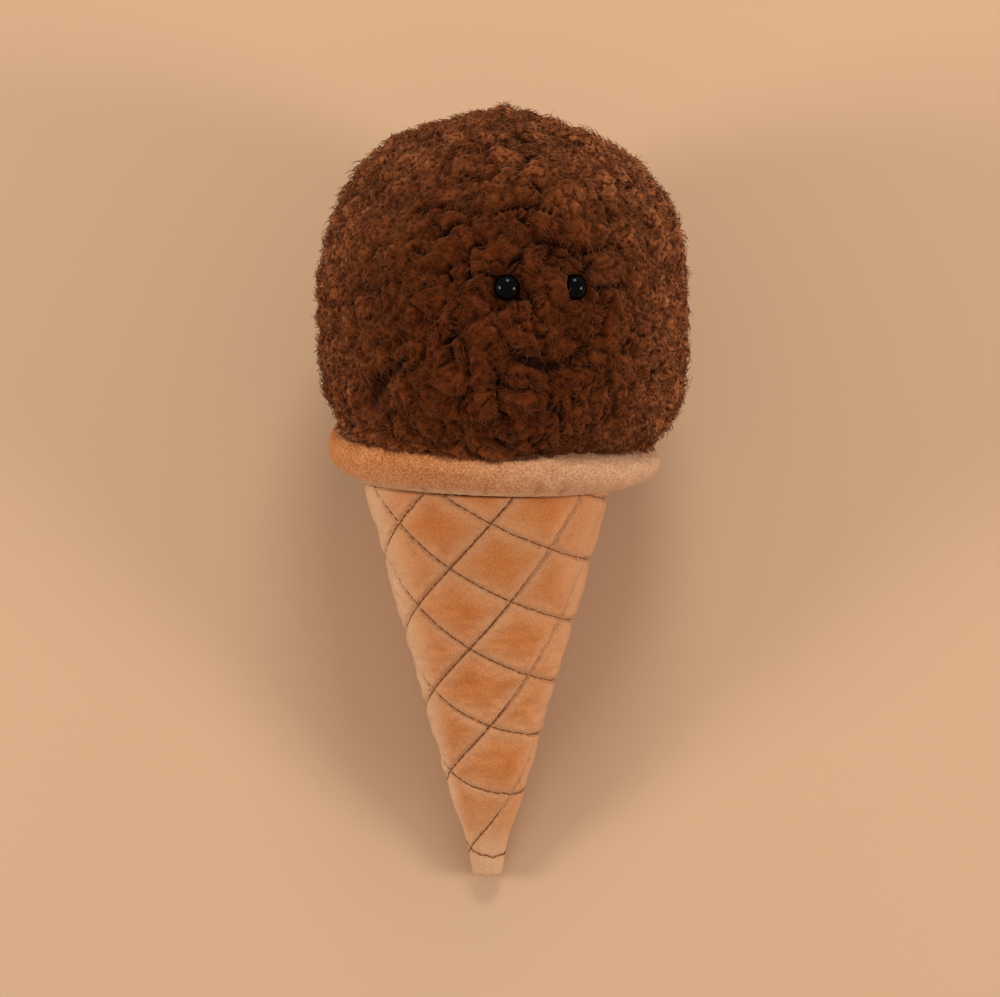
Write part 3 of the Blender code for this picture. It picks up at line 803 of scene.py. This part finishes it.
def clear_of_eyes(paths):
    """Pushes strands that cross a bead out round it, so that its front stays bare. Beside the right eye
    they may reach in over it from both sides."""
    for centre, way, squeeze in zip(eye_centres(), eye_ways(), (1.0, RIGHT_EYE_SQUEEZE)):
        side = unit(np.cross([0, 0, 1.0], way))
        offset = paths - centre
        out = offset @ way
        level = offset - out[..., None] * way
        sideways = level @ side
        across = np.sqrt(np.sum(level**2, axis=-1) + (squeeze**2 - 1) * sideways**2)
        want = np.sqrt(np.maximum((EYE_RADIUS + 0.2 * MM) ** 2 - np.minimum(out, 0) ** 2, 0))
        want = np.where(out > -EYE_RADIUS, want, 0)
        push = np.maximum(0, want / np.maximum(across, 0.1 * MM) - 1)
        paths = paths + level * np.minimum(push, 3)[..., None]
    return paths


def crossing_beads(paths):
    """Which strands still pass over a bead's front between two of their points."""
    middles = (paths[:, 1:] + paths[:, :-1]) / 2
    return np.any(np.abs(clear_of_eyes(middles) - middles).max(axis=-1) > 0.15 * MM, axis=1)


def build_pile(material):
    """The strands, in a few pieces. They are spread over the scoop, thinned in the slits and folds, and
    clear of the beads, the thread and the seat."""
    rng = np.random.default_rng(STRAND_SEED + 2)
    ways = spread_over_ball(STRANDS, 0.8, STRAND_SEED)
    low = direction(rng.uniform(-1.6, 1.6, HEM_STRANDS), np.radians(rng.uniform(-46, -36, HEM_STRANDS)))
    ways = np.concatenate([ways, low])
    radius, painted_light = fleece(ways)
    locks = spread_over_ball(LOCKS, LOCK_JITTER, LOCK_SEED)
    number = nearest_two(ways, locks)[0]
    keep = rng.random(len(ways)) < 0.25 + 1.6 * painted_light
    keep &= (to_eyes(ways) > EYE_RADIUS + 0.1 * MM) & (to_mouth(ways) > 0.6 * THREAD_RADIUS)
    keep &= above_hem(SCOOP_CENTRE + ways * radius[:, None]) > -0.5 * MM
    ways, radius, painted_light, number = ways[keep], radius[keep], painted_light[keep], number[keep]
    paths = clear_of_eyes(strand_paths(ways, radius, number, locks, rng))
    clear = ~crossing_beads(paths)
    ways, painted_light, number, paths = ways[clear], painted_light[clear], number[clear], paths[clear]
    paths = pressed(over_rim(paths), 1.3 * STRAND_RADIUS)
    radii = STRAND_RADIUS * np.array([1.0, 1.0, 0.8, 0.35]) * rng.uniform(0.7, 1.3, (len(ways), 1))
    shades = np.random.default_rng(LOCK_SEED + 1).random(LOCKS)  # each lock has its own
    strand = np.clip(0.5 * shades[number] + rng.uniform(0, 0.5, len(ways)), 0, 1)
    # Painted shade at the roots, lighter to the tips, over the painted light of each strand's place, and
    # painted edge light at the sides, the crown and the back.
    height = np.clip(painted_light[:, None] + np.array([-0.2, 0.0, 0.2, 0.4]), 0.03, 1)
    layers = {"height": height, "strand": strand[:, None], "sheen_and_paleness": off_face(ways)[:, None]}
    for part, chosen in enumerate(np.array_split(np.arange(len(ways)), PILE_PIECES)):
        name = f"fleece_pile_{part + 1}"
        piece = tube_piece(name, paths[chosen], radii[chosen], STRAND_SIDES, material)
        for key, values in layers.items():
            per_point = np.broadcast_to(values[chosen], (len(chosen), STRAND_POINTS))
            paint(piece, key, tube_values(per_point, STRAND_SIDES))


# The face.


def build_eyes(material):
    """Polished beads: a ball of 48 columns and 32 rings."""
    for name, cad_node, centre in zip(("bead_left", "bead_right"), ("eye_left", "eye_right"), eye_centres()):
        piece = new_piece(name, lay(centre + ball(32, 48) * EYE_RADIUS), *closed_grid(32, 48), material)
        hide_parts(cad_node)


def build_mouth(material):
    """Two strands of thread twisted round each other along the mouth's arc."""
    ways = mouth_ways(MOUTH_POINTS)
    middle = SCOOP_CENTRE + ways * (superellipse_radius(ways) - MOUTH_SINK)[:, None]
    along = unit(np.gradient(middle, axis=0))
    side = np.cross(along, ways)
    twist = np.linspace(0, THREAD_TWISTS * TURN, MOUTH_POINTS)[:, None] + np.array([0, math.pi])
    swing = ways[:, None] * np.cos(twist)[..., None] + side[:, None] * np.sin(twist)[..., None]
    paths = np.moveaxis(middle[:, None] + 0.5 * THREAD_RADIUS * swing, 1, 0)
    radii = np.full(paths.shape[:2], 0.56 * THREAD_RADIUS)
    piece = tube_piece("mouth_thread", paths, radii, 8, material)
    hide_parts("mouth")


# Cloth.


def blown_up(rest, pins, pressure, growth):
    """Runs Blender's cloth on a closed grid from inside pressure, with the pinned points held, and returns
    how far each point moves. The cloth is a little larger than its shape, so that it puckers."""
    points = with_poles(rest)
    pins = np.append(pins.ravel(), [1, 1])
    piece = new_piece("cloth", points * CLOTH_SCALE, *closed_grid(*rest.shape[:2]), None)
    group = piece.vertex_groups.new(name="held")
    held = np.nonzero(pins > 0.02)[0]
    for weight in (0.25, 0.5, 0.75, 1.0):
        chosen = held[(pins[held] <= weight) & (pins[held] > weight - 0.25)]
        group.add(chosen.tolist(), weight, "REPLACE")
    cloth = piece.modifiers.new("cloth", "CLOTH")
    settings = cloth.settings
    settings.quality = 5
    settings.mass = 0.3
    settings.tension_stiffness = 12
    settings.compression_stiffness = 12
    settings.shear_stiffness = 6
    settings.bending_stiffness = 0.4
    settings.vertex_group_mass = "held"
    settings.use_pressure = True
    settings.uniform_pressure_force = pressure
    settings.shrink_min = -growth
    settings.effector_weights.gravity = 0
    cloth.collision_settings.use_self_collision = False
    scene = bpy.context.scene
    for step in range(1, CLOTH_FRAMES + 1):
        scene.frame_set(step)
    graph = bpy.context.evaluated_depsgraph_get()
    result = piece.evaluated_get(graph).data
    moved = np.zeros(len(points) * 3, np.float32)
    result.vertices.foreach_get("co", moved)
    scene.frame_set(1)
    mesh = piece.data
    bpy.data.objects.remove(piece)
    bpy.data.meshes.remove(mesh)
    moved = moved.reshape(-1, 3).astype(float) / CLOTH_SCALE
    return (moved - points)[:-2].reshape(rest.shape)


def blurred(values, times):
    """Smooths a grid of values that closes sideways, by the mean of each and its neighbours."""
    for _ in range(times):
        values = (np.roll(values, 1, axis=1) + 2 * values + np.roll(values, -1, axis=1)) / 4
        padded = np.concatenate([values[:1], values, values[-1:]])
        values = (padded[:-2] + 2 * padded[1:-1] + padded[2:]) / 4
    return values


def resampled(values, rows, columns):
    """Reads a grid of values that closes sideways on a finer one, by straight lines between points."""
    down = np.linspace(0, len(values) - 1, rows)
    low = np.minimum(down.astype(int), len(values) - 2)
    part = (down - low)[:, None]
    values = values[low] * (1 - part) + values[low + 1] * part
    over = np.arange(columns) * values.shape[1] / columns
    left = over.astype(int)
    part = over - left
    right = (left + 1) % values.shape[1]
    return values[:, left] * (1 - part) + values[:, right] * part


# The cone.


def stitch_lines():
    """For each family, its lines' angles and their distances from the apex, on the unrolled cloth. Lines
    that level out turn about the place where they cross the cone's front."""
    families = []
    for (angle, spacing, first), levelling in zip(STITCH_LINES, (LEVELLING, 0.0)):
        number = np.array(LINE_NUMBERS)
        angles = angle - levelling * np.maximum(number - LEVEL_AFTER, 0)
        families.append((angles, (first - number * spacing) * np.cos(angles) / math.cos(angle)))
    return families


def to_lines(turn, slant):
    """The distances on the cloth to the two nearest lines of each family. A line is straight on the
    unrolled cloth: slant times the cosine of (unrolled angle less its own) is its distance from the apex."""
    unrolled = turn * math.sin(CONE_HALF_ANGLE)
    found = []
    for angles, distances in stitch_lines():
        away = np.abs(distances - slant[..., None] * np.cos(unrolled[..., None] - angles))
        found.append(np.sort(away, axis=-1)[..., :2])
    return found


def to_seam(turn, slant):
    return (math.pi - np.abs(turn)) * slant * math.sin(CONE_HALF_ANGLE)


def to_threads(turn, slant):
    """The distance on the cloth to the nearest stitch line or the seam."""
    first, second = to_lines(turn, slant)
    return np.minimum.reduce([first[..., 0], second[..., 0], to_seam(turn, slant)])


def cone_place(turn, slant, rise):
    """A point of the cone: the straight taper with a slight waist by the tip and a rounded end, then the
    cloth's rise over it. The top leans with the rim."""
    height = CONE_APEX + slant * math.cos(CONE_HALF_ANGLE)
    taper = (height - CONE_APEX) * math.tan(CONE_HALF_ANGLE)
    fullness = np.clip(taper / PILLOW_FULL_RADIUS, PILLOW_LEAST, 1)
    waist = TIP_WAIST_DEPTH * bell(height - TIP_WAIST, TIP_WAIST_REACH)
    end = np.clip(1 - height / TIP_ROUNDING, 0, 1)
    radius = (taper - waist + fullness * (rise - CONE_TAKE_IN)) * np.sqrt(1 - 0.6 * end**2)
    points = np.stack([radius * np.sin(turn), -radius * np.cos(turn), height], axis=-1)
    lean = np.clip(height / CONE_TOP, 0, 1) ** 2
    points[..., 2] -= lean * (points[..., 0] - RIM_CENTRE[0]) * CONE_TOP_SLOPE
    return points


def slant_at(height):
    """How far a height is from the apex along the cone's side: the height over it / cos(half angle)."""
    return (height - CONE_APEX) / math.cos(CONE_HALF_ANGLE)


def turn_on_line(angle, distance, way):
    """The turn at a way along a stitch line: it lies at the unrolled angle atan(way / distance) past the
    line's own."""
    return (angle + np.arctan2(way, distance)) / math.sin(CONE_HALF_ANGLE)


def cone_grid(rows, columns):
    """Turns and slants of a grid over the cone. Its first and last columns meet at the back, by the seam."""
    turn = (np.arange(columns) / columns - 0.5) * TURN
    slant = np.linspace(slant_at(0), slant_at(CONE_TOP), rows)
    return np.broadcast_arrays(turn[None, :], slant[:, None])


def with_poles(points):
    """A grid's points as a list, with the middle of its first and last rings as poles."""
    return np.concatenate([points.reshape(-1, 3), [points[0].mean(axis=0), points[-1].mean(axis=0)]])


def velour_piece(name, points, sheen_and_paleness, material):
    """A piece from a grid of points that closes sideways, with its painted sheen and paleness as an
    attribute.
    """
    piece = new_piece(name, lay(with_poles(points)), *closed_grid(*points.shape[:2]), material)
    paint(piece, "sheen_and_paleness", np.append(sheen_and_paleness.ravel(), [0, 0]))
    return piece


def cone_rise(rows, columns):
    """How far the cloth stands over the taper: from the cloth run, held along the lines, and brought to
    the pillows' rise."""
    turn, slant = cone_grid(*CONE_CLOTH_GRID)
    pins = np.clip(1.25 - to_threads(turn, slant) / (1.1 * MM), 0, 1)
    pins[0] = pins[-1] = 1.0
    shift = blown_up(cone_place(turn, slant, 0.0), pins, CONE_PRESSURE, CONE_GROWTH)
    out = np.stack([np.sin(turn), -np.cos(turn), np.full(turn.shape, -math.tan(CONE_HALF_ANGLE))], axis=-1)
    rise = np.maximum(np.sum(shift * unit(out), axis=-1), 0)
    rise *= PILLOW_RISE / np.percentile(rise, 92)
    rise = 1.25 * PILLOW_RISE * np.tanh(rise / (1.25 * PILLOW_RISE))
    return blurred(resampled(rise, rows, columns), 2)


def nap(points, seed):
    """Velour's grain as relief: two sizes of noise, from -1 to 1."""
    return noise(points, NAP_SIZE, seed) + 0.8 * noise(points, 0.55 * NAP_SIZE, seed + 1) - 0.9


def groove(away):
    """How deep the stitches pull the cloth in beside a line: a bell curve of the distance."""
    return GROOVE_DEPTH * bell(away, GROOVE_WIDTH)


def build_cone(material):
    turn, slant = cone_grid(CONE_ROWS, CONE_COLUMNS)
    rise = cone_rise(CONE_ROWS, CONE_COLUMNS)
    away = to_threads(turn, slant)
    plain = rise - groove(away)
    grained = plain + NAP_RELIEF * nap(cone_place(turn, slant, plain), 61)
    points = pressed(cone_place(turn, slant, grained))
    # Paler towards the tip; painted sheen round the sides, more on the viewer's left, and in a band beside
    # each stitch line.
    by_tip = 0.6 * bell(points[..., 2], PALE_TIP)
    by_side = (0.58 - 0.18 * np.sin(turn)) * (0.75 + 0.25 * np.cos(turn))
    by_side *= np.clip((np.abs(turn) - PALE_SIDE) / PALE_SIDE, 0, 1)
    line_sheen = 0.28 * bell(away, PALE_BAND)
    sheen_and_paleness = np.clip(np.maximum.reduce([line_sheen, by_tip, by_side]), 0, 1)
    piece = velour_piece("cone_velour", points, sheen_and_paleness, material)
    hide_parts("cone")
    return rise


def read_grid(values, turn, slant):
    """Reads a grid of values over the cone at any turns and slants, by the nearest point."""
    share = (slant - slant_at(0)) / (slant_at(CONE_TOP) - slant_at(0))
    row = np.clip(share * (len(values) - 1), 0, len(values) - 1)
    column = (turn / TURN + 0.5) * values.shape[1]
    return values[np.round(row).astype(int), np.round(column).astype(int) % values.shape[1]]


def stitch_places():
    """The middles of all stitches, as (line's angle, its distance from the apex, the way along it)."""
    found = []
    highest = slant_at(CONE_TOP + 1.5 * MM)
    along = np.arange(-highest, highest, STITCH_PITCH)
    for angles, distances in stitch_lines():
        angle, distance, way = np.broadcast_arrays(angles[:, None], distances[:, None], along)
        slant = np.hypot(distance, way)
        turn = turn_on_line(angle, distance, way)
        keep = (slant > slant_at(2.0 * MM)) & (slant < highest) & (np.abs(turn) < math.pi - 0.06)
        found.append(np.stack([angle[keep], distance[keep], way[keep]], axis=1))
    return np.concatenate(found)


def on_line(angle, distance, along, rise, lift):
    """Points on the cloth at a way along a line, lifted off it."""
    slant = np.hypot(distance, along)
    turn = turn_on_line(angle, distance, along)
    inside = np.clip(turn, -math.pi, math.pi)
    return cone_place(turn, slant, read_grid(rise, inside, slant) - GROOVE_DEPTH + lift)


def build_stitches(rise, material):
    """Stitches along every line: short arched tubes that dive into the cloth at both ends. On the first
    family's lines they are bolder and more jagged towards the viewer's right, and on the second family's
    they lie deeper and thinner there."""
    places = stitch_places()
    rng = np.random.default_rng(STITCH_SEED)
    step = np.linspace(-0.5, 0.5, 7)
    angle, distance, way = places[:, 0:1], places[:, 1:2], places[:, 2:3]
    along = way + STITCH_LENGTH * step + rng.normal(0, 0.12 * MM, (len(places), 1))
    arch = (1 - (2 * step) ** 2) * STITCH_RADIUS * 1.5 - STITCH_RADIUS * 0.4
    bold = np.where(angle > 0, np.clip(0.55 + way / (20 * MM), 0, 1), 0.1)
    jag = rng.normal(0, 0.05 * MM, (len(places), 1)) + 0.24 * MM * bold * rng.normal(0, 1, (len(places), 7))
    turn = turn_on_line(angle, distance, way)
    faint = (angle < 0) * np.clip((turn - FAINT_FROM) / FAINT_FROM, 0, 1)
    paths = pressed(on_line(angle, distance + jag, along, rise, arch * (1 - faint)), STITCH_RADIUS)
    radii = STITCH_RADIUS * (1 - 0.3 * np.abs(2 * step) ** 3) * (0.8 + 0.7 * bold) * (1 - 0.6 * faint)
    piece = tube_piece("cone_stitches", paths, radii, 6, material)


def build_fuzz(rise, material):
    """Short hairs of velour beside the stitches, which lean over them from both sides."""
    places = stitch_places()
    rng = np.random.default_rng(STITCH_SEED + 1)
    count = int(FUZZ_PER_MM * STITCH_PITCH / MM)
    angle, distance, along = (np.repeat(column, count) for column in places.T)
    side = rng.choice([-1.0, 1.0], len(angle))
    along = along + rng.uniform(-0.5, 0.5, len(angle)) * STITCH_PITCH
    root = side * rng.uniform(0.3, 0.9, len(angle)) * MM
    length = FUZZ_LENGTH * rng.uniform(0.6, 1.3, len(angle))
    step = np.linspace(0, 1, 3)
    away = root[:, None] - side[:, None] * (length * rng.uniform(0.1, 0.9, len(angle)))[:, None] * step
    lift = 0.7 * length[:, None] * np.sin(step * math.pi * 0.6) - 0.05 * MM
    depth = GROOVE_DEPTH - groove(np.abs(root))[:, None]
    sway = along[:, None] + rng.normal(0, 0.3, len(angle))[:, None] * MM * step
    paths = on_line(angle[:, None], distance[:, None] + away, sway, rise, lift + depth)
    paths = pressed(paths, FUZZ_RADIUS)
    radii = FUZZ_RADIUS * np.array([1.0, 0.85, 0.3]) * np.ones((len(angle), 1))
    piece = tube_piece("cone_fuzz", paths, radii, 3, material)
    # The hairs are painted wholly pale, like the painted sheen beside the stitches.
    paint(piece, "sheen_and_paleness", np.ones(len(piece.data.vertices)))


# The rim.


def rim_profile(share):
    """The rim's cross-section from the seat under the fleece, over the lip and round the roll to the
    cloth by the cone: a quarter ellipse above and another below the widest place."""
    angle = share * math.pi
    upper = angle < math.pi / 2
    across_up = RIM_EDGE_RADIUS + (RIM_RADIUS - RIM_EDGE_RADIUS) * np.sin(angle)
    across_down = RIM_FOOT_RADIUS + (RIM_RADIUS - RIM_FOOT_RADIUS) * np.sin(angle)
    across = np.where(upper, across_up, across_down)
    up = RIM_WIDEST + (RIM_LIP - RIM_WIDEST) * np.cos(angle)
    down = RIM_WIDEST + (RIM_DEPTH + RIM_WIDEST) * np.cos(angle)
    return across, np.where(upper, up, down)


def rim_place(turn, share, rise):
    """A point of the rim: its profile turned about its axis, flattened from front to back and tilted."""
    across, height = rim_profile(share)
    height = height - lip_drop(turn) * np.clip(np.cos(share * math.pi), 0, 1)
    wave = RIM_WAVE * (np.sin(3 * turn + 1.0) + 0.6 * np.sin(5 * turn))
    angle = share * math.pi
    below = np.clip(-height / RIM_DEPTH, 0, 1)
    across = across + rise * np.sin(angle) + wave * below
    height = height + rise * np.cos(angle) + RIM_FOOT_RISE * below * across * np.sin(turn) / RIM_RADIUS
    points = np.stack([across * np.sin(turn), -across * np.cos(turn) * DEPTH_SHARE, height], axis=-1)
    return points @ RIM_TURN.T + RIM_CENTRE


def rim_grid(rows, columns):
    """Turns and shares of the profile, from the cone's side up to the seat so that faces look outward."""
    turn = np.arange(columns) / columns * TURN
    share = np.linspace(1, 0, rows)
    return np.broadcast_arrays(turn[None, :], share[:, None])


def rim_rise(rows, columns):
    """How the rim's cloth swells and puckers between its two seams, from the cloth run."""
    turn, share = rim_grid(*RIM_CLOTH_GRID)
    rest = rim_place(turn, share, -0.5 * MM)
    pins = np.zeros(turn.shape)
    pins[:3] = pins[-3:] = 1.0
    shift = blown_up(rest, pins, RIM_PRESSURE, RIM_GROWTH)
    out = rim_place(turn, share, 0.5 * MM) - rest
    rise = np.sum(shift * unit(out), axis=-1)
    rise = rise - np.median(rise) - 0.3 * MM
    return blurred(resampled(np.clip(rise, -0.8 * MM, 1.2 * MM), rows, columns), 2)


def build_rim(material):
    turn, share = rim_grid(RIM_ROWS, RIM_COLUMNS)
    rise = rim_rise(RIM_ROWS, RIM_COLUMNS)
    grained = rise + 1.4 * NAP_RELIEF * nap(rim_place(turn, share, rise), 71)
    points = pressed(rim_place(turn, share, grained))
    # Painted sheen: paler towards the viewer's right and in a band along the foot.
    right_sheen = np.clip((np.sin(turn) + 0.42) / 1.25, 0, 1)
    sheen_and_paleness = np.maximum(0.9 * bell(share - 0.9, 0.17), right_sheen)
    piece = velour_piece("rim_velour", points, sheen_and_paleness, material)
    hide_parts("rim")


# The stage.

TARGET = np.array([3.0, 0.0, 88.6]) * MM
CAMERA_DISTANCE = 0.9
CAMERA_RISE = math.radians(6.0)
FRAME_WIDTH = 0.2317
SENSOR = 36.0
LIGHT_COLOUR = (1.0, 0.98, 0.95)
FLOOR_HALF = 3.0


def camera_axes():
    """The camera's right, up and backward directions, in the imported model's frame."""
    back = turned([0, -math.cos(CAMERA_RISE), math.sin(CAMERA_RISE)])
    up = turned([0, math.sin(CAMERA_RISE), math.cos(CAMERA_RISE)])
    return np.array([1.0, 0, 0]), up, back


def looking(place, right, up, back):
    columns = np.stack([right, up, back, place], axis=1)
    return Matrix([*columns.tolist(), [0, 0, 0, 1]])


def place_camera():
    data = bpy.data.cameras.new("camera")
    data.sensor_width = SENSOR
    data.lens = SENSOR * CAMERA_DISTANCE / FRAME_WIDTH
    camera = in_scene("camera", data)
    right, up, back = camera_axes()
    camera.matrix_world = looking(lay(TARGET) + back * CAMERA_DISTANCE, right, up, back)
    bpy.context.scene.camera = camera


def soft_box(name, toward, size, watts):
    """A round light a metre off, in a direction given in the camera's own right, up and back."""
    away = unit(np.array(toward, float) @ np.stack(camera_axes()))
    right = unit(np.cross([0, 1.0, 0.001], away))
    data = bpy.data.lights.new(name, "AREA")
    data.shape = "DISK"
    data.size = size
    data.energy = watts
    data.color = LIGHT_COLOUR
    light = in_scene(name, data)
    light.matrix_world = looking(lay(TARGET) + away, right, np.cross(away, right), away)


def build_floor():
    """A plain pale floor of paper."""
    made, tree, shader = start_material("paper", 0.9, 0.1)
    shade = mixed(tree, grain(tree, 0.4, 0.3, 0.7), (0.575, 0.357, 0.213), (0.585, 0.365, 0.219))
    tree.links.new(shade, shader.inputs["Base Color"])
    corners = FLOOR_HALF * np.array([[-1, -1, 0], [1, -1, 0], [1, 1, 0], [-1, 1, 0]])
    floor = new_piece("floor", corners, np.array([[0, 1, 2, 3]]), np.zeros((0, 3), int), made)


def build_light():
    soft_box("light_above", (0.09, 0.86, 0.50), 0.38, 4.8)
    soft_box("light_left", (-0.89, 0.0, 0.46), 0.32, 5.2)
    soft_box("light_right", (0.88, -0.10, 0.46), 0.32, 5.2)
    world = bpy.data.worlds.new("studio")
    world.use_nodes = True
    background = world.node_tree.nodes["Background"].inputs
    background["Color"].default_value = (1.0, 0.97, 0.93, 1.0)
    background["Strength"].default_value = 0.45
    bpy.context.scene.world = world
    bpy.context.scene.view_settings.view_transform = "Standard"


def main():
    place_camera()
    build_light()
    build_floor()
    fleece = fleece_material()
    build_backing(fleece)
    build_pile(fleece)
    build_eyes(bead_material())
    build_mouth(thread_material("mouth_thread", (0.010, 0.003, 0.001), (0.022, 0.007, 0.002)))
    cone_colours = (0.50, 0.129, 0.021), (0.74, 0.54, 0.350)
    cone_cloth = velour_material("cone_velour", *cone_colours, 0.22, 0.4 * MM, 0.6)
    rise = build_cone(cone_cloth)
    build_stitches(rise, thread_material("quilting_thread", (0.17, 0.052, 0.014), (0.30, 0.105, 0.032)))
    build_fuzz(rise, cone_cloth)
    rim_colours = (0.44, 0.114, 0.021), (0.69, 0.46, 0.310)
    build_rim(velour_material("rim_velour", *rim_colours, 0.52, 0.52 * MM, 0.35))


main()
